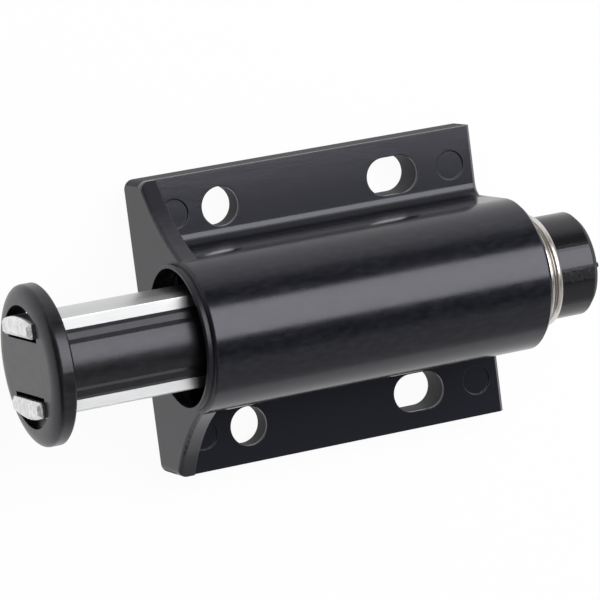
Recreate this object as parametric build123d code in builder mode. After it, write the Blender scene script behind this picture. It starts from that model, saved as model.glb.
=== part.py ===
"""Push-to-open magnetic catch.

A moulded housing screws to a cabinet by its flange.  Inside its barrel a
spring-loaded plunger slides, and its head carries two steel pole plates with a
magnet between them.  A heart-shaped track on the underside of the plunger's
collar runs over a swinging wire pin, so one push latches the plunger in and the
next push lets it out.  A two-turn wire ring on the tail stops it.

Frame: X across the flange, +Y along the plunger from head to tail, +Z up out of
the mounting face.  Origin on the mounting face, midway between the front screw
holes.  Units are millimetres.
"""
import os
from math import atan2, cos, degrees, radians, sin

from build123d import *

os.makedirs("parts", exist_ok=True)

# ---------------------------------------------------------------- housing
flange_width = 30.0
flange_length = 37.1
flange_thickness = 3.8
flange_corner = 1.0          # rounding of the flange's front corners
front_round = 0.4            # rounding of the end wall's front edges

hole_setback = 8.5           # front face to the row of round holes
hole_pitch = 22.5            # between left and right fixings
hole_d = 4.0
hole_relief_d = 5.8          # burr relief round each front hole, on the back
hole_relief_depth = 1.4
slot_row = 19.2              # from the round holes to the slots
slot_length = 5.7
slot_width = 3.9
mark_d = 3.0                 # ejector pin marks left on the flange
mark_depth = 0.15
mark_front_y = -5.0
mark_rear_y = 25.8

axis_height = 10.8           # barrel axis above the mounting face
barrel_r = 7.8
saddle_fillet = 1.2          # where the barrel's side walls meet the flange
rear_rim = 0.4               # break of the rear rim of barrel and flange

gusset_thickness = 1.8       # end wall between flange and barrel
gusset_foot = 0.5            # height of its ends above the flange
gusset_meet = 12.0           # degrees above the axis where it runs into the barrel
gusset_sag = 0.7             # hollow of its sloping edge
gusset_blend = 0.8           # rounding where it runs into the barrel

bore_r = 6.95
bore_flat = 6.4              # axis to the flat floor of the bore
rear_wall = 2.2
lip_wall = 0.4               # raised lip round the mouth of the bore
lip_height = 0.6
lip_break = 0.15

# ---------------------------------------------------------------- plunger
stroke = 12.0
rod_r = 5.3
rod_clearance = 0.10         # rod in the housing's rear wall
collar_clearance = 0.15      # collar in the bore
flat_clearance = 0.2         # collar's flat above the bore's floor
collar_length = 15.0
collar_inset = 1.6           # collar behind the front face when extended
tail_length = 3.95           # tail behind the stop ring
tail_break = 0.6
gate_d = 0.5                 # moulding gate stub on the tail's end
gate_length = 0.3

plate_inner = 3.1            # axis to the inner face of a pole plate
plate_edge = 1.45            # thickness at the plate's edges
plate_crown = 0.5            # extra thickness at the middle of its outer face
plate_width = 7.5
plate_fit = 0.05
plate_tail = 13.5            # how far the plates run behind the front face
plate_proud = 0.7            # pole tips in front of the head's face
tip_break = 0.35
ridge_x = 2.15               # axis to the edge of the rod's ridge
ridge_break = 0.35           # bevel from the ridge down to the ledges
ledge_x = 3.45               # axis to the edge of the ledges over the plates
ledge_edge = 0.42            # height of the ledges over the plates
ledge_rise = 0.28            # how much higher they are at the ridge
ledge_break = 0.3            # bevel along their edges

magnet_length = 14.0
magnet_width = 6.4
magnet_fit = 0.05
nose_web = 1.1               # plastic in front of the magnet
neck_r = 5.5
neck_length = 0.8

head_r = 8.0
head_thickness = 2.1
head_gap = 14.45             # head's rear to the front face when extended
head_crown_r = 1.85          # crowned rim of the head's face, across
head_crown_y = 0.9           # and along the axis
head_rear_break = 0.2
head_slot_r = 6.1            # arc of the clearance slots round the pole tips
head_slot_inner = 2.7        # axis to the inner side of those slots
head_slot_fit = 0.15
tenon_x = 5.0
tenon_z = 6.6
tenon_length = 1.3
tenon_fit = 0.03

# ---------------------------------------------------------------- index pin
pin_d = 1.1
pin_arm = 11.0
pin_bend = 0.7
pin_swing_x = 1.5            # sideways travel of the tip at full stroke
pin_tip_y = 6.5
pin_pivot_height = 2.4       # pivot leg above the arm's centre line
pin_in_track = 0.9
pin_clearance = 0.05         # pivot leg in its hole, radial
pin_gap = 0.1                # arm to the groove's ceiling and to the cover
groove_side = 0.3            # arm to the groove's sides
cover_thickness = 0.45
cover_margin = 1.3
cover_fit = 0.05
cover_recess = 0.05

track_depth = 1.2
track_width = 1.6
latch_travel = 10.4          # plunger travel at which the pin rests in the notch

# ---------------------------------------------------------------- wire parts
runs_per_turn = 22            # straight runs in one turn of a coil
wire_sides = 8               # sides of a wire's section
spring_wire = 0.8
spring_r = 5.85
spring_turns = 6
spring_seat = 0.05
ring_wire = 0.84
ring_pitch = 0.87
ring_turns = 2
ring_groove_r = 4.85
ring_fit = 0.05

# ---------------------------------------------------------------- places
front_y = -hole_setback
rear_y = front_y + flange_length
barrel_start = front_y + gusset_thickness
floor_z = axis_height - bore_flat
collar_r = bore_r - collar_clearance
collar_flat = bore_flat - flat_clearance
collar_bottom_z = axis_height - collar_flat
collar_front = front_y + collar_inset
collar_rear = collar_front + collar_length
chamber_rear = rear_y - rear_wall
ring_length = ring_turns * ring_pitch + ring_wire
shoulder_y = rear_y + ring_length + 2 * ring_fit
tail_end = shoulder_y + tail_length
head_rear = front_y - head_gap
head_front = head_rear - head_thickness
plate_front = head_front - plate_proud
plate_rear = front_y + plate_tail
magnet_front = head_rear + nose_web
ledge_z = plate_width / 2 + plate_fit + ledge_edge
ridge_z = ledge_z + ledge_rise
ridge_top = (rod_r ** 2 - ridge_x ** 2) ** 0.5
pin_pivot_y = pin_tip_y + pin_arm
pin_z = cover_recess + cover_thickness + pin_gap + pin_d / 2
groove_top = pin_z + pin_d / 2 + pin_gap
pin_tip_top = collar_bottom_z + pin_in_track


def across(y):
    """Plane square to the plunger at y: its X is X, its Y is Z, normal to -Y."""
    return Plane(origin=(0, y, 0), x_dir=(1, 0, 0), z_dir=(0, -1, 0))


def on_axis(y):
    """The same plane, with its origin on the plunger's axis."""
    return Plane(origin=(0, y, axis_height), x_dir=(1, 0, 0), z_dir=(0, -1, 0))


def flange_outline():
    """Outline of the flange seen from above, its front corners rounded."""
    with Locations((0, front_y + flange_length / 2)):
        outline = Rectangle(flange_width, flange_length)
    fillet(outline.vertices().group_by(Axis.Y)[0], flange_corner)


# ---------------------------------------------------------------- end wall
with BuildPart() as end_wall:
    foot_x = flange_width / 2
    foot_z = flange_thickness + gusset_foot
    meet_x = barrel_r * cos(radians(gusset_meet))
    meet_z = axis_height + barrel_r * sin(radians(gusset_meet))
    with BuildSketch(across(front_y)) as wall_face:
        with BuildLine():
            Polyline((-foot_x, foot_z), (-foot_x, 0), (foot_x, 0), (foot_x, foot_z))
            SagittaArc((foot_x, foot_z), (meet_x, meet_z), gusset_sag)
            CenterArc((0, axis_height), barrel_r, gusset_meet, 180 - 2 * gusset_meet)
            SagittaArc((-meet_x, meet_z), (-foot_x, foot_z), gusset_sag)
        make_face()
        fillet(wall_face.vertices().filter_by_position(Axis.Y, meet_z - 0.01, meet_z + 0.01),
               gusset_blend)
    extrude(amount=-gusset_thickness)
    front_edges = end_wall.edges().filter_by_position(Axis.Y, front_y - 0.01, front_y + 0.01)
    fillet(front_edges.filter_by_position(Axis.Z, flange_thickness, 2 * axis_height),
           front_round)
    with BuildSketch(Plane.XY):
        flange_outline()
    extrude(amount=axis_height + barrel_r, mode=Mode.INTERSECT)

# ---------------------------------------------------------------- housing
with BuildPart() as housing:
    with BuildSketch(Plane.XY):
        flange_outline()
    extrude(amount=flange_thickness)
    with BuildSketch(across(barrel_start)):
        with Locations((0, axis_height)):
            Circle(barrel_r)
        with Locations((0, axis_height / 2)):
            Rectangle(2 * barrel_r, axis_height)
    extrude(amount=-(rear_y - barrel_start))
    foot_edges = housing.edges().filter_by(Axis.Y).filter_by_position(
        Axis.Z, flange_thickness - 0.01, flange_thickness + 0.01)
    fillet([e for e in foot_edges if abs(abs(e.center().X) - barrel_r) < 0.01],
           saddle_fillet)
    rear_arc = housing.edges().filter_by(GeomType.CIRCLE).filter_by_position(
        Axis.Y, rear_y - 0.01, rear_y + 0.01).sort_by(Axis.Z)[-1]
    chamfer(rear_arc, rear_rim)
    add(end_wall.part)

    # lip round the mouth, bore with its flat floor, hole for the rod
    with BuildSketch(on_axis(barrel_start)):
        Circle(bore_r + lip_wall)
    extrude(amount=barrel_start - front_y + lip_height)
    lip_edge = housing.edges().filter_by(GeomType.CIRCLE).sort_by(Axis.Y)[0]
    chamfer(lip_edge, lip_break)
    with BuildSketch(on_axis(front_y - lip_height)):
        Circle(bore_r)
        with Locations((0, -bore_flat)):
            Rectangle(2 * bore_r, 2 * bore_r, align=(Align.CENTER, Align.MAX),
                      mode=Mode.SUBTRACT)
    extrude(amount=-(lip_height + flange_length - rear_wall), mode=Mode.SUBTRACT)
    with BuildSketch(on_axis(chamber_rear)):
        Circle(rod_r + rod_clearance)
    extrude(amount=-rear_wall, mode=Mode.SUBTRACT)

    # screw holes with their relief, slots, ejector marks
    with Locations((-hole_pitch / 2, 0, flange_thickness),
                   (hole_pitch / 2, 0, flange_thickness)):
        Hole(hole_d / 2, depth=flange_thickness)
    with BuildSketch(Plane.XY):
        with GridLocations(hole_pitch, 0, 2, 1):
            Circle(hole_relief_d / 2)
    extrude(amount=hole_relief_depth, mode=Mode.SUBTRACT)
    with BuildSketch(Plane.XY):
        with Locations((-hole_pitch / 2, slot_row), (hole_pitch / 2, slot_row)):
            SlotOverall(slot_length, slot_width, rotation=90)
    extrude(amount=flange_thickness, mode=Mode.SUBTRACT)
    with BuildSketch(Plane.XY.offset(flange_thickness)):
        with Locations(*[(x, y) for x in (-hole_pitch / 2, hole_pitch / 2)
                         for y in (mark_front_y, mark_rear_y)]):
            Circle(mark_d / 2)
    extrude(amount=-mark_depth, mode=Mode.SUBTRACT)

    # back: seat of the cover, fan-shaped groove, pivot hole, window to the bore
    seat_x = 2 * (pin_swing_x + pin_d / 2 + groove_side + cover_margin)
    seat_y = pin_arm + pin_d + 2 * cover_margin
    with BuildSketch(Plane.XY):
        with Locations((0, pin_tip_y + pin_arm / 2)):
            RectangleRounded(seat_x, seat_y, cover_margin)
    extrude(amount=cover_recess + cover_thickness, mode=Mode.SUBTRACT)
    with BuildSketch(Plane.XY):
        with Locations((0, pin_pivot_y), (-pin_swing_x, pin_tip_y), (pin_swing_x, pin_tip_y)):
            Circle(pin_d / 2 + groove_side)
        make_hull()
    extrude(amount=groove_top, mode=Mode.SUBTRACT)
    with BuildSketch(Plane.XY):
        with Locations((0, pin_pivot_y)):
            Circle(pin_d / 2 + pin_clearance)
    extrude(amount=pin_z + pin_pivot_height + pin_gap, mode=Mode.SUBTRACT)
    with BuildSketch(Plane.XY):
        with Locations((0, pin_tip_y)):
            SlotCenterToCenter(2 * pin_swing_x, pin_d + 2 * groove_side)
    extrude(amount=floor_z, mode=Mode.SUBTRACT)
housing.part.label = "housing"

# ---------------------------------------------------------------- plunger
inbound = (pin_swing_x, pin_tip_y - stroke)
notch = (0, pin_tip_y - latch_travel)
outbound = (-pin_swing_x, pin_tip_y - stroke)
entry = (0, pin_tip_y)
track_points = [entry, inbound, notch, outbound, entry]

ledge_side = [(ledge_x, ledge_z - ledge_break), (ledge_x - ledge_break, ledge_z),
              (ridge_x + ridge_break, ridge_z), (ridge_x, ridge_top)]
ledge_upper = ledge_side + [(-x, z) for x, z in reversed(ledge_side)]

with BuildPart() as plunger:
    # rod between the plates: a ridge, and ledges that hold the edges of the plates
    with BuildSketch(on_axis(head_rear)):
        Circle(rod_r)
        Rectangle(2 * ridge_x, 2 * rod_r, mode=Mode.INTERSECT)
        Polygon(*ledge_upper, *[(-x, -z) for x, z in ledge_upper])
    extrude(amount=-(collar_front - head_rear))
    with BuildSketch(on_axis(head_rear)):
        Circle(neck_r)
    extrude(amount=-neck_length)
    # collar with its flat, plain rod and tail behind it
    with BuildSketch(on_axis(collar_front)):
        Circle(collar_r)
        with Locations((0, -collar_flat)):
            Rectangle(2 * collar_r, 2 * collar_r, align=(Align.CENTER, Align.MAX),
                      mode=Mode.SUBTRACT)
    extrude(amount=-collar_length)
    with BuildSketch(on_axis(collar_rear)):
        Circle(rod_r)
    extrude(amount=-(tail_end - collar_rear))
    tail_edge = plunger.edges().filter_by(GeomType.CIRCLE).sort_by(Axis.Y)[-1]
    chamfer(tail_edge, tail_break)
    # groove of the stop ring
    with BuildSketch(on_axis(rear_y)):
        Circle(rod_r)
        Circle(ring_groove_r, mode=Mode.SUBTRACT)
    extrude(amount=-(shoulder_y - rear_y), mode=Mode.SUBTRACT)
    # side seats of the pole plates and the cross pocket of the magnet
    with BuildSketch(on_axis(head_rear)):
        for side in (-1, 1):
            with Locations((side * plate_inner, 0)):
                Rectangle(2 * collar_r, plate_width + 2 * plate_fit,
                          align=(Align.MIN if side > 0 else Align.MAX, Align.CENTER))
    extrude(amount=-(plate_rear + plate_fit - head_rear), mode=Mode.SUBTRACT)
    with BuildSketch(on_axis(magnet_front - magnet_fit)):
        Rectangle(2 * plate_inner, magnet_width + 2 * magnet_fit)
    extrude(amount=-(magnet_length + 2 * magnet_fit), mode=Mode.SUBTRACT)
    # tenon that carries the head
    with BuildSketch(on_axis(head_rear)):
        Rectangle(tenon_x, tenon_z)
    extrude(amount=tenon_length)
    # heart-shaped track in the collar's flat
    with BuildSketch(Plane.XY.offset(collar_bottom_z)):
        for start, end in zip(track_points, track_points[1:]):
            leg = Vector(*end) - Vector(*start)
            heading = degrees(atan2(leg.Y, leg.X))
            with Locations((Vector(*start) + Vector(*end)) * 0.5):
                SlotCenterToCenter(leg.length, track_width, rotation=heading)
    extrude(amount=track_depth, mode=Mode.SUBTRACT)
    # gate stub on the tail's end
    with BuildSketch(on_axis(tail_end)):
        with Locations((0, rod_r - tail_break - gate_d)):
            Circle(gate_d / 2)
    extrude(amount=-gate_length)
plunger.part.label = "plunger"

# ---------------------------------------------------------------- head
with BuildPart() as strike_head:
    with BuildSketch(Plane(origin=(0, 0, axis_height), x_dir=(0, 0, 1), z_dir=(-1, 0, 0))):
        with BuildLine():
            EllipticalCenterArc((head_r - head_crown_r, head_front + head_crown_y),
                                head_crown_r, head_crown_y, -90, arc_size=90)
            Polyline((head_r, head_front + head_crown_y), (head_r, head_rear - head_rear_break),
                     (head_r - head_rear_break, head_rear), (0, head_rear), (0, head_front),
                     (head_r - head_crown_r, head_front))
        make_face()
    revolve(axis=Axis((0, 0, axis_height), (0, 1, 0)))
    with BuildSketch(on_axis(head_rear)):
        Circle(head_slot_r)
        Rectangle(2 * head_slot_r, plate_width + 2 * head_slot_fit, mode=Mode.INTERSECT)
        Rectangle(2 * head_slot_inner, 2 * head_slot_r, mode=Mode.SUBTRACT)
    extrude(amount=head_thickness, mode=Mode.SUBTRACT)
    with BuildSketch(on_axis(head_rear)):
        Rectangle(tenon_x + 2 * tenon_fit, tenon_z + 2 * tenon_fit)
    extrude(amount=tenon_length + tenon_fit, mode=Mode.SUBTRACT)
strike_head.part.label = "strike_head"


# ---------------------------------------------------------------- pole plates
def pole_plate(side):
    """A steel strip with a crowned outer face, on the given side of the magnet."""
    inner = side * plate_inner
    edge = side * (plate_inner + plate_edge)
    crown = side * (plate_inner + plate_edge + plate_crown)
    half = plate_width / 2
    with BuildPart() as plate:
        with BuildSketch(on_axis(plate_front)):
            with BuildLine():
                Polyline((edge, -half), (inner, -half), (inner, half), (edge, half))
                ThreePointArc((edge, half), (crown, 0), (edge, -half))
            make_face()
        extrude(amount=-(plate_rear - plate_front))
        chamfer(plate.faces().sort_by(Axis.Y)[0].edges(), tip_break)
    return plate.part


pole_plates = {"pole_plate_left": pole_plate(-1), "pole_plate_right": pole_plate(1)}

# ---------------------------------------------------------------- magnet
with BuildPart() as magnet:
    with BuildSketch(on_axis(magnet_front)):
        Rectangle(2 * plate_inner, magnet_width)
    extrude(amount=-magnet_length)
magnet.part.label = "magnet"


# ---------------------------------------------------------------- wire parts
def coil(start_y, pitch, turns, mean_r, wire):
    """A coil of wire about the plunger's axis in short runs, starting at the top."""
    run = 360 / runs_per_turn
    points = [(mean_r * sin(radians(run * i)), start_y + pitch * i / runs_per_turn,
               axis_height + mean_r * cos(radians(run * i)))
              for i in range(turns * runs_per_turn + 1)]
    with BuildPart() as part:
        with BuildLine():
            path = Polyline(*points)
        with BuildSketch(Plane(origin=path @ 0, z_dir=path % 0)):
            RegularPolygon(wire / 2, wire_sides)
        sweep(transition=Transition.RIGHT)
    return part.part


spring_start = collar_rear + spring_seat + spring_wire / 2
spring_end = chamber_rear - spring_seat - spring_wire / 2
main_spring = coil(spring_start, (spring_end - spring_start) / spring_turns, spring_turns,
                   spring_r, spring_wire)
main_spring.label = "main_spring"

ring_r = ring_groove_r + ring_fit + ring_wire / 2
stop_ring = coil(rear_y + ring_fit + ring_wire / 2, ring_pitch, ring_turns, ring_r, ring_wire)
stop_ring.label = "stop_ring"

# ---------------------------------------------------------------- index pin
with BuildPart() as index_pin:
    with BuildLine():
        path = FilletPolyline((0, pin_pivot_y, pin_z + pin_pivot_height),
                              (0, pin_pivot_y, pin_z), (0, pin_tip_y, pin_z),
                              (0, pin_tip_y, pin_tip_top), radius=pin_bend)
    with BuildSketch(Plane(origin=path @ 0, z_dir=path % 0)):
        RegularPolygon(pin_d / 2, wire_sides)
    sweep()
index_pin.part.label = "index_pin"

with BuildPart() as pin_cover:
    with BuildSketch(Plane.XY.offset(cover_recess)):
        with Locations((0, pin_tip_y + pin_arm / 2)):
            RectangleRounded(seat_x - 2 * cover_fit, seat_y - 2 * cover_fit,
                             cover_margin - cover_fit)
    extrude(amount=cover_thickness)
pin_cover.part.label = "pin_cover"

# ---------------------------------------------------------------- export
export_step(housing.part, "parts/housing.step")
export_step(plunger.part, "parts/plunger.step")
export_step(strike_head.part, "parts/strike_head.step")
for name, plate in pole_plates.items():
    plate.label = name
    export_step(plate, f"parts/{name}.step")
export_step(magnet.part, "parts/magnet.step")
export_step(main_spring, "parts/main_spring.step")
export_step(stop_ring, "parts/stop_ring.step")
export_step(index_pin.part, "parts/index_pin.step")
export_step(pin_cover.part, "parts/pin_cover.step")
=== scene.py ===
"""Looks for the push-to-open catch: materials, surface pieces, floor, camera and light.

Lengths are in metres in the frame's axes: +Z out of the mounting face, +Y along the plunger
from its head to its tail, X across the flange. Noise scales are per metre.
"""
from math import cos, pi, radians, sin

import bmesh
import bpy
from mathutils import Matrix, Vector


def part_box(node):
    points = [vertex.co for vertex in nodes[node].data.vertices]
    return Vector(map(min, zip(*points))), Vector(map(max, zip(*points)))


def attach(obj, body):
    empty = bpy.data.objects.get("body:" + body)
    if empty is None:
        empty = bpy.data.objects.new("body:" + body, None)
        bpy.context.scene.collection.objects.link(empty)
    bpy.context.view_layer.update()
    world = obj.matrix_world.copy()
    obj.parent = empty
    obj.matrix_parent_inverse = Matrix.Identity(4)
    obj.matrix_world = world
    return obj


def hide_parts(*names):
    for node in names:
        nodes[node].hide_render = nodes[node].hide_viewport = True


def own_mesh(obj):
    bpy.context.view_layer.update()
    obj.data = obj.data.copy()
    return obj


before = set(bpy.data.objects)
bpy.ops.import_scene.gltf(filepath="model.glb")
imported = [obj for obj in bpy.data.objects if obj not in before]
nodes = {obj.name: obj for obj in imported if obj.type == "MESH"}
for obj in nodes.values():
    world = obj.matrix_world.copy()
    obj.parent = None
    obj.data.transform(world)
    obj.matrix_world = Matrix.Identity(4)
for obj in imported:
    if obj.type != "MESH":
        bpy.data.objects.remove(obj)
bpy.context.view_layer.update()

AXIS_Z = 0.0108              # plunger's axis above the floor


# ------------------------------------------------------------------ shader helpers
def new_material(name):
    """A node material with its shader linked to the output, and its coordinates."""
    mat = bpy.data.materials.new(name)
    mat.use_nodes = True
    tree = mat.node_tree
    tree.nodes.clear()
    out = tree.nodes.new("ShaderNodeOutputMaterial")
    shader = tree.nodes.new("ShaderNodeBsdfPrincipled")
    coords = tree.nodes.new("ShaderNodeTexCoord")
    tree.links.new(shader.outputs["BSDF"], out.inputs["Surface"])
    return mat, tree, shader, coords


def noise(tree, coords, scale, detail, stretch=(1, 1, 1)):
    """A 0..1 noise in the object's own frame. A small factor in stretch draws it out."""
    mapping = tree.nodes.new("ShaderNodeMapping")
    mapping.inputs["Scale"].default_value = stretch
    tex = tree.nodes.new("ShaderNodeTexNoise")
    tex.inputs["Scale"].default_value = scale
    tex.inputs["Detail"].default_value = detail
    tree.links.new(coords.outputs["Object"], mapping.inputs["Vector"])
    tree.links.new(mapping.outputs["Vector"], tex.inputs["Vector"])
    return tex.outputs["Fac"]


def place_in(tree, coords, kind="Object"):
    """The X, Y and Z outputs of a coordinate."""
    node = tree.nodes.new("ShaderNodeSeparateXYZ")
    tree.links.new(coords.outputs[kind], node.inputs["Vector"])
    return node.outputs


def ranged(tree, source, low, high, start=0.0, end=1.0, curve="LINEAR"):
    """Maps start..end to low..high, and holds the ends."""
    node = tree.nodes.new("ShaderNodeMapRange")
    node.interpolation_type = curve
    node.inputs["From Min"].default_value = start
    node.inputs["From Max"].default_value = end
    node.inputs["To Min"].default_value = low
    node.inputs["To Max"].default_value = high
    tree.links.new(source, node.inputs["Value"])
    return node.outputs["Result"]


def combined(tree, operation, *sources):
    """A Math node's result on one or two sockets."""
    node = tree.nodes.new("ShaderNodeMath")
    node.operation = operation
    for source, socket in zip(sources, node.inputs):
        tree.links.new(source, socket)
    return node.outputs[0]


def scaled(tree, source, factor, offset=0.0):
    """source times factor plus offset."""
    node = tree.nodes.new("ShaderNodeMath")
    node.operation = "MULTIPLY_ADD"
    node.inputs[1].default_value = factor
    node.inputs[2].default_value = offset
    tree.links.new(source, node.inputs[0])
    return node.outputs[0]


def blended(tree, factor, low, high, kind="RGBA"):
    """Mix of two values or sockets by a 0..1 factor."""
    node = tree.nodes.new("ShaderNodeMix")
    node.data_type = kind
    for key, value in (("A", low), ("B", high)):
        socket = [s for s in node.inputs if s.name == key and s.enabled][0]
        if isinstance(value, bpy.types.NodeSocket):
            tree.links.new(value, socket)
        else:
            socket.default_value = value
    factor_socket = [s for s in node.inputs if s.name == "Factor" and s.enabled][0]
    tree.links.new(factor, factor_socket)
    return [s for s in node.outputs if s.enabled][0]


def toned(tone, factor=1.0, lift=0.0):
    """A tone times factor plus lift, as RGBA."""
    return (*(c * factor + lift for c in tone), 1)


def bump(tree, normal, height, strength, distance):
    """A bump laid over another normal."""
    node = tree.nodes.new("ShaderNodeBump")
    node.inputs["Strength"].default_value = strength
    node.inputs["Distance"].default_value = distance
    tree.links.new(height, node.inputs["Height"])
    tree.links.new(normal, node.inputs["Normal"])
    return node.outputs["Normal"]


OFF_EDGE, ON_EDGE = 0.995, 0.9   # cosine between rounded and true normal


def soft_edges(tree, radius):
    """A normal that rounds off edges, and a 0..1 mask of where they are."""
    round_off = tree.nodes.new("ShaderNodeBevel")
    round_off.samples = 6
    round_off.inputs["Radius"].default_value = radius
    surface = tree.nodes.new("ShaderNodeNewGeometry")
    likeness = tree.nodes.new("ShaderNodeVectorMath")
    likeness.operation = "DOT_PRODUCT"
    tree.links.new(round_off.outputs["Normal"], likeness.inputs[0])
    tree.links.new(surface.outputs["Normal"], likeness.inputs[1])
    mask = ranged(tree, likeness.outputs["Value"], 0, 1, OFF_EDGE, ON_EDGE)
    return round_off.outputs["Normal"], mask


def ragged_line(tree, coords, place, middle, width):
    """A 0..1 mask of a ragged line along Y at X = middle, as a rubbed parting line has."""
    wander = scaled(tree, noise(tree, coords, 1100, 3), 2 * width, -width)
    shifted = combined(tree, "ADD", place["X"], wander)
    off = combined(tree, "ABSOLUTE", scaled(tree, shifted, 1.0, -middle))
    line = ranged(tree, off, 1, 0, 0.5 * width, 0.7 * width)
    patches = ranged(tree, noise(tree, coords, 2300, 2), 0, 1, 0.35, 0.5)
    return combined(tree, "MULTIPLY", line, patches)


# ------------------------------------------------------------------ materials
PLASTIC_EDGE = 0.00012       # radius that plastic edges are rounded to
PLASTIC_TINT = (0.91, 0.905, 1.0, 1)
FLOW_STRETCH = (1, 0.4, 1)   # flow marks run along the plunger
RIPPLE_STRETCH = (1, 0.3, 1)
RIPPLE_DEPTH = 0.00005
GRAIN_DEPTH = 0.00002
SEAM_ROUGH = 0.8
RUBBED_ROUGH = 0.5


def black_plastic(name, tone, rough_low, rough_high, grain, zones=(), seam=None):
    """Moulded black plastic: mottling, flow specks, ripple, fine grain, and edges worn lighter,
    partly wear and partly a painted highlight.

    zones lists (axis, none at, full at, tone factor, roughness): faces of the mould that
    were left duller or smoother than the rest, told by their place. Some tone factors
    paint a sheen and a shade, as the zones' own comments say.
    seam is (X of its middle, width) of a ragged parting line along Y.
    """
    mat, tree, shader, coords = new_material(name)
    normal, rim = soft_edges(tree, PLASTIC_EDGE)
    place = place_in(tree, coords)
    cloud = ranged(tree, noise(tree, coords, 90, 3), 0, 1)
    colour = blended(tree, cloud, toned(tone, 0.8), toned(tone, 1.25))
    specks = ranged(tree, noise(tree, coords, 2200, 4, FLOW_STRETCH), 0, 0.7, 0.4, 0.7)
    colour = blended(tree, specks, colour, toned(tone, 2.6))
    rough = ranged(tree, noise(tree, coords, 900, 5, FLOW_STRETCH), rough_low, rough_high)
    for axis, none_at, full_at, factor, dullness in zones:
        inside = ranged(tree, place[axis], 0, 1, none_at, full_at)
        colour = blended(tree, inside, colour, toned(tone, factor))
        rough = blended(tree, inside, rough, dullness, "FLOAT")
    if seam:
        torn = ragged_line(tree, coords, place, *seam)
        colour = blended(tree, torn, colour, toned(tone, 0.6))
        rough = blended(tree, torn, rough, SEAM_ROUGH, "FLOAT")
    # Edges painted lighter and rougher in patches: partly wear, partly a painted edge
    # highlight.
    patchy_wear_and_highlight = ranged(tree, noise(tree, coords, 700, 4), 0.0, 0.9)
    worn_and_lit_edges = combined(tree, "MULTIPLY", rim, patchy_wear_and_highlight)
    colour = blended(tree, worn_and_lit_edges, colour, toned(tone, 3.5, 0.004))
    rough = blended(tree, worn_and_lit_edges, rough, RUBBED_ROUGH, "FLOAT")
    tree.links.new(colour, shader.inputs["Base Color"])
    tree.links.new(rough, shader.inputs["Roughness"])
    shader.inputs["Specular IOR Level"].default_value = 0.5
    shader.inputs["Specular Tint"].default_value = PLASTIC_TINT
    ripple = noise(tree, coords, 420, 3, RIPPLE_STRETCH)
    normal = bump(tree, normal, ripple, 0.12, RIPPLE_DEPTH)
    normal = bump(tree, normal, noise(tree, coords, 4200, 3), grain, GRAIN_DEPTH)
    tree.links.new(normal, shader.inputs["Normal"])
    return mat


METAL_EDGE = 0.0001          # radius that metal edges are rounded to
LINE_DEPTH = 0.00002
DRAWN = (1, 0.05, 1)         # lines drawn out along the strip
SHEAR_FADE = 0.0002          # length over which a sheared end begins
SHEARED_TONE = (0.92, 0.92, 0.92)
SHEARED_ROUGH = 0.55
PIT_DEPTH = 0.00025


def metal(name, tone, rough_low, rough_high, stretch, scale, strength, sheared=None):
    """Bright metal with fine drawn lines and rounded edges.

    sheared is the Y below which the surface is torn and pitted, as a sheared end is.
    """
    mat, tree, shader, coords = new_material(name)
    shader.inputs["Metallic"].default_value = 1.0
    normal, rim = soft_edges(tree, METAL_EDGE)
    lines = noise(tree, coords, scale, 6, stretch)
    cloud = noise(tree, coords, 160, 3)
    colour = blended(tree, cloud, toned(tone, 0.78), toned(tone))
    # Edges painted 15 per cent lighter: a painted edge highlight.
    colour = blended(tree, rim, colour, toned(tone, 1.15))
    rough = ranged(tree, lines, rough_low, rough_high)
    normal = bump(tree, normal, lines, strength, LINE_DEPTH)
    if sheared is not None:
        place = place_in(tree, coords)
        torn = ranged(tree, place["Y"], 0, 1, sheared + SHEAR_FADE, sheared)
        pits = noise(tree, coords, 1300, 6, (1, 1, 1.6))
        torn_tone = tree.nodes.new("ShaderNodeVectorMath")
        torn_tone.operation = "SCALE"
        torn_tone.inputs[0].default_value = SHEARED_TONE
        tree.links.new(ranged(tree, pits, 0.55, 1.45), torn_tone.inputs["Scale"])
        colour = blended(tree, torn, colour, torn_tone.outputs["Vector"])
        rough = blended(tree, torn, rough, SHEARED_ROUGH, "FLOAT")
        crust = combined(tree, "MULTIPLY", torn, pits)
        normal = bump(tree, normal, crust, 1.0, PIT_DEPTH)
    tree.links.new(colour, shader.inputs["Base Color"])
    tree.links.new(rough, shader.inputs["Roughness"])
    tree.links.new(normal, shader.inputs["Normal"])
    return mat


FLANGE_TOP = 0.0038
WALL_FRONT = -0.0085         # front face of the end wall
TAIL_START = 0.0288
TAIL_BREAK = 0.0346          # where the tail's rim is broken
housing_finish_sheen_and_shade_zones = (
    ("Z", FLANGE_TOP + 0.0030, FLANGE_TOP + 0.0020, 1.2, 0.42),       # foot of the barrel
    ("Z", FLANGE_TOP + 0.00015, FLANGE_TOP + 0.00003, 2.5, 0.13),     # flange's top: smoother, with a painted sheen, its tone 2.5 times as light
    ("Z", FLANGE_TOP - 0.0002, FLANGE_TOP - 0.0004, 0.8, 0.65),       # below its top: duller, with painted shade, its tone 0.8 times as dark on the side and hole walls
    ("Y", WALL_FRONT + 0.0002, WALL_FRONT + 0.0001, 1.0, 0.4))        # end wall
tail_zones = (
    ("Y", TAIL_START - 0.0001, TAIL_START, 1.0, 0.2),                 # tail
    ("Y", TAIL_BREAK - 0.0001, TAIL_BREAK, 0.8, 0.6))                 # its broken rim
housing_tone = (0.0058, 0.0062, 0.0086)
plunger_tone = (0.0064, 0.0064, 0.0075)
housing_black = black_plastic("housing_black", housing_tone, 0.12, 0.27, 0.09,
                              zones=housing_finish_sheen_and_shade_zones)
plunger_black = black_plastic("plunger_black", plunger_tone, 0.24, 0.36, 0.25,
                              zones=tail_zones)
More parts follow.
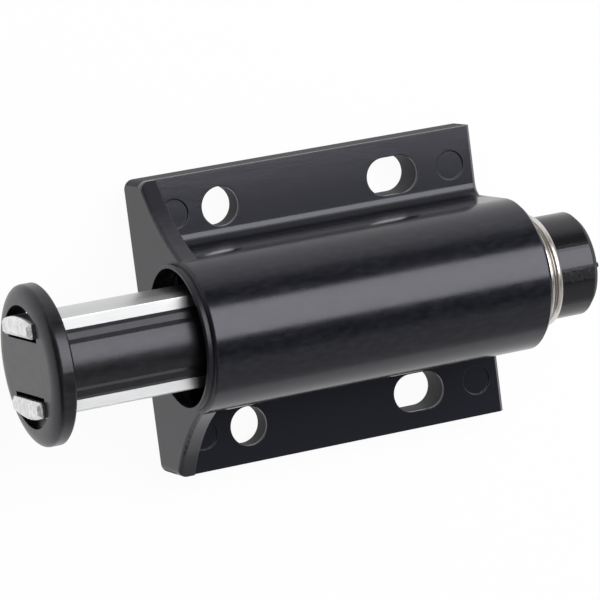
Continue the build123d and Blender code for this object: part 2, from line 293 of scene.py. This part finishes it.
tail_black = black_plastic("tail_black", plunger_tone, 0.24, 0.36, 0.25,
                           zones=tail_zones, seam=(0.0005, 0.0009))
steel = metal("pole_steel", (0.70, 0.705, 0.71), 0.26, 0.42, DRAWN, 3000, 0.25,
              sheared=-0.0253)
wire = metal("spring_wire", (0.78, 0.735, 0.70), 0.22, 0.36, (1, 1, 1), 1500, 0.15)
strip = metal("cover_steel", (0.55, 0.56, 0.58), 0.28, 0.45, DRAWN, 2500, 0.2)
ferrite = black_plastic("ferrite", (0.05, 0.05, 0.052), 0.55, 0.8, 0.7)

finish = {"housing": housing_black, "plunger": plunger_black, "strike_head": plunger_black,
          "pole_plate_left": steel, "pole_plate_right": steel, "magnet": ferrite,
          "main_spring": wire, "stop_ring": wire, "index_pin": wire, "pin_cover": strip}
for name, mat in finish.items():
    node = nodes[name]
    node.data.materials.clear()
    node.data.materials.append(mat)


# ------------------------------------------------------------------ mesh helpers
def about_axis(radius, angle, y):
    """A point at angle from the top towards +X, about the plunger's axis."""
    return Vector((radius * sin(angle), y, AXIS_Z + radius * cos(angle)))


def lofted(name, sections):
    """A capped mesh skinned over rings of points."""
    size = len(sections[0])
    points = [p for section in sections for p in section]
    faces = []
    for a in range(0, len(points) - size, size):
        b = a + size
        faces += [(a + k, a + (k + 1) % size, b + (k + 1) % size, b + k) for k in range(size)]
    faces += [tuple(range(size)), tuple(reversed(range(len(points) - size, len(points))))]
    mesh = bpy.data.meshes.new(name)
    mesh.from_pydata(points, [], faces)
    mesh.validate()
    obj = bpy.data.objects.new(name, mesh)
    bpy.context.scene.collection.objects.link(obj)
    build = bmesh.new()
    build.from_mesh(mesh)
    bmesh.ops.recalc_face_normals(build, faces=build.faces)
    build.to_mesh(mesh)
    build.free()
    return obj


def wire_coil(name, mean_r, size, start_y, pitch, turns, start_angle, steps, sides):
    """A round wire wound about the plunger's axis, in steps a turn, with sides round it."""
    loops = []
    for i in range(turns * steps + 1):
        turn = i / steps
        angle = start_angle + 2 * pi * turn
        loops.append([about_axis(mean_r + size / 2 * cos(2 * pi * k / sides), angle,
                                 start_y + pitch * turn + size / 2 * sin(2 * pi * k / sides))
                      for k in range(sides)])
    coil = lofted(name, loops)
    coil.data.materials.append(wire)
    for face in coil.data.polygons:
        face.use_smooth = len(face.vertices) == 4
    return coil


# ------------------------------------------------------------------ wire ring
RING_WIRE = 0.00084
RING_MEAN = 0.0054
RING_PITCH = 0.00087
RING_TURNS = 2
RING_START = -pi             # the wire begins at the bottom
RING_STEPS = 96
RING_SIDES = 16
ring_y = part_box("stop_ring")[0][1] + RING_WIRE / 2
stop_wire = wire_coil("stop_wire", RING_MEAN, RING_WIRE, ring_y, RING_PITCH, RING_TURNS,
                      RING_START, RING_STEPS, RING_SIDES)
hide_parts("stop_ring")
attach(stop_wire, "plunger")

# ------------------------------------------------------------------ main spring
SPRING_WIRE = 0.0008
SPRING_MEAN = 0.00585
SPRING_TURNS = 6
SPRING_STEPS = 48
SPRING_SIDES = 10
spring_front, spring_rear = (corner[1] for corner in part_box("main_spring"))
spring_length = spring_rear - spring_front
coil_spring = wire_coil("coil_spring", SPRING_MEAN, SPRING_WIRE, spring_front + SPRING_WIRE / 2,
                        (spring_length - SPRING_WIRE) / SPRING_TURNS, SPRING_TURNS, 0,
                        SPRING_STEPS, SPRING_SIDES)
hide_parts("main_spring")
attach(coil_spring, "housing")
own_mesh(coil_spring)

# ------------------------------------------------------------------ skin of the tail
# It brings the tail's shoulder up to the wire's last turn.
SKIN_OUTER = 0.00531
SKIN_INNER = 0.00475
SKIN_GAP = 0.00002           # between the skin and what lies in front of it
SHOULDER_PAST_RING = 0.00006
shoulder_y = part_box("stop_ring")[1][1] + SHOULDER_PAST_RING
sections = []
for i in range(RING_STEPS + 1):
    angle = RING_START + 2 * pi * i / RING_STEPS
    last_turn = ring_y + RING_PITCH * (RING_TURNS - 1 + i / RING_STEPS)
    front = min(last_turn + RING_WIRE / 2 + SKIN_GAP, shoulder_y - SKIN_GAP)
    sections.append([about_axis(SKIN_INNER, angle, front),
                     about_axis(SKIN_OUTER, angle, front),
                     about_axis(SKIN_OUTER, angle, TAIL_BREAK),
                     about_axis(SKIN_INNER, angle, TAIL_BREAK)])
land = lofted("tail_skin", sections)
land.data.materials.append(tail_black)
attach(land, "plunger")

# ------------------------------------------------------------------ floor
BACKDROP_SHARE = 0.95        # part of the floor's look that is plain white
bpy.ops.mesh.primitive_plane_add(size=3)
floor = bpy.context.object
floor.name = "floor"
floor_mat, tree, shader, _ = new_material("floor_white")
shader.inputs["Base Color"].default_value = (0.9, 0.9, 0.9, 1)
shader.inputs["Roughness"].default_value = 0.9
shader.inputs["Specular IOR Level"].default_value = 0.1
rays = tree.nodes.new("ShaderNodeLightPath").outputs
mirrored = combined(tree, "MAXIMUM", rays["Is Glossy Ray"], rays["Is Transmission Ray"])
seen = combined(tree, "MAXIMUM", rays["Is Camera Ray"], mirrored)
glow = tree.nodes.new("ShaderNodeEmission")
glow.inputs["Color"].default_value = (1, 1, 1, 1)
glow.inputs["Strength"].default_value = 1.0
blend = tree.nodes.new("ShaderNodeMixShader")
tree.links.new(scaled(tree, seen, BACKDROP_SHARE), blend.inputs["Fac"])
tree.links.new(shader.outputs["BSDF"], blend.inputs[1])
tree.links.new(glow.outputs["Emission"], blend.inputs[2])
tree.links.new(blend.outputs["Shader"], tree.nodes["Material Output"].inputs["Surface"])
floor.data.materials.append(floor_mat)

# ------------------------------------------------------------------ camera
CAMERA_AT = (-0.05721, -0.14969, 0.37147)
CAMERA_VIEW = (0.1407, 0.3888, -0.9105)
CAMERA_RIGHT = (0.1262, 0.9051, 0.4060)
view = Vector(CAMERA_VIEW).normalized()
right = Vector(CAMERA_RIGHT)
right = (right - view * right.dot(view)).normalized()
up = right.cross(view)
camera_data = bpy.data.cameras.new("camera")
camera_data.sensor_width = 36
camera_data.lens = 239.5
camera_data.clip_start = 0.01
camera = bpy.data.objects.new("camera", camera_data)
bpy.context.scene.collection.objects.link(camera)
turned = Matrix((right, up, -view)).transposed().to_4x4()
camera.matrix_world = Matrix.Translation(CAMERA_AT) @ turned
bpy.context.scene.camera = camera

# ------------------------------------------------------------------ softbox
# It is parallel to Y. Its width sets the highlight, and its length the level of light, at
# which a colour renders about as it is written.
KEY_ANGLE = radians(-19.0)   # from straight up towards +X
KEY_REACH = 0.4              # from the plunger's axis
KEY_ALONG = 0.205
key_data = bpy.data.lights.new("key", "AREA")
key_data.shape = "RECTANGLE"
key_data.size = 0.34
key_data.size_y = 0.49
key_data.energy = 2.35
key = bpy.data.objects.new("key", key_data)
bpy.context.scene.collection.objects.link(key)
key.rotation_euler = (0, KEY_ANGLE, 0)
key.location = (KEY_REACH * sin(KEY_ANGLE), KEY_ALONG, AXIS_Z + KEY_REACH * cos(KEY_ANGLE))
key.visible_camera = False

# ------------------------------------------------------------------ world
# A soft studio, dim round the softbox, darker to the front and to the right.
DIM_CENTRE_Y = 0.39          # lean of the dim patch towards +Y
DIM_CENTRE_XZ = 0.92
DIM_FULL, DIM_NONE = radians(42), radians(60)
world = bpy.data.worlds.new("studio")
bpy.context.scene.world = world
world.use_nodes = True
tree = world.node_tree
coords = tree.nodes.new("ShaderNodeTexCoord")
towards = tree.nodes.new("ShaderNodeVectorMath")
towards.operation = "DOT_PRODUCT"
towards.inputs[1].default_value = (sin(KEY_ANGLE) * DIM_CENTRE_XZ, DIM_CENTRE_Y,
                                   cos(KEY_ANGLE) * DIM_CENTRE_XZ)
tree.links.new(coords.outputs["Generated"], towards.inputs[0])
patch = ranged(tree, towards.outputs["Value"], 1.0, 0.12, cos(DIM_NONE), cos(DIM_FULL),
               "SMOOTHSTEP")
heading = place_in(tree, coords, "Generated")
front = ranged(tree, heading["Y"], 0.12, 1.0, -0.7, -0.2)
across = ranged(tree, heading["X"], 0.8, 0.5, -0.7, 0.7)
background = tree.nodes["Background"]
background.inputs["Color"].default_value = (1, 1, 1, 1)
level = combined(tree, "MULTIPLY", combined(tree, "MULTIPLY", patch, front), across)
tree.links.new(level, background.inputs["Strength"])

bpy.context.scene.view_settings.view_transform = "Standard"
